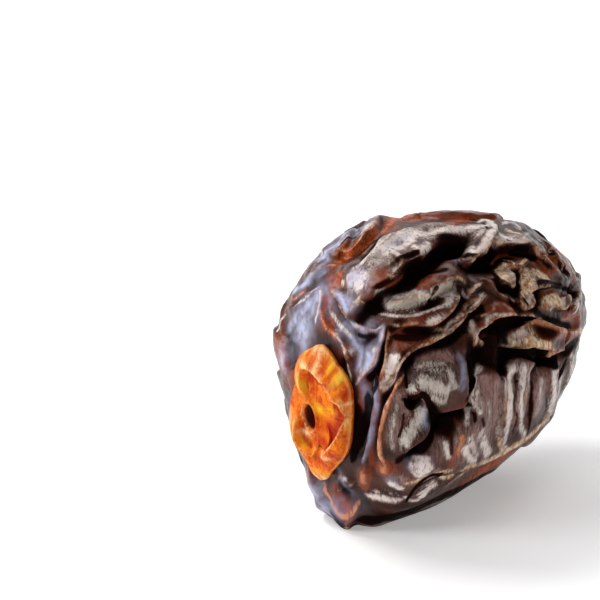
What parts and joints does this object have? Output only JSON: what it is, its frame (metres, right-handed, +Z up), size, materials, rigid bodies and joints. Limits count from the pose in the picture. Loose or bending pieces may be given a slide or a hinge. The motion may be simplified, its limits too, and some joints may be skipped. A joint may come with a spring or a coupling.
{
  "type": "medjool date",
  "caption": "Whole ripe date lying on its side: plump oval fruit with a deeply wrinkled glossy brown skin and a dry orange calyx cupped over its stem end.",
  "frame": {"origin": "on the surface that the date lies on, under the middle of its bounding box", "axes": "+Y along the fruit from the calyx to the tip, +Z up, +X towards the flank that shows in the picture"},
  "size_m": [0.03, 0.046, 0.0362],
  "materials": {
    "date_skin": "glossy, deeply wrinkled dark brown skin with a dull greyish bloom on its facets",
    "calyx_skin": "dry, fibrous orange calyx with pale rims"
  },
  "bodies": {
    "root": {"date_flesh": "date_skin", "calyx": "calyx_skin"}
  },
  "joints": []
}
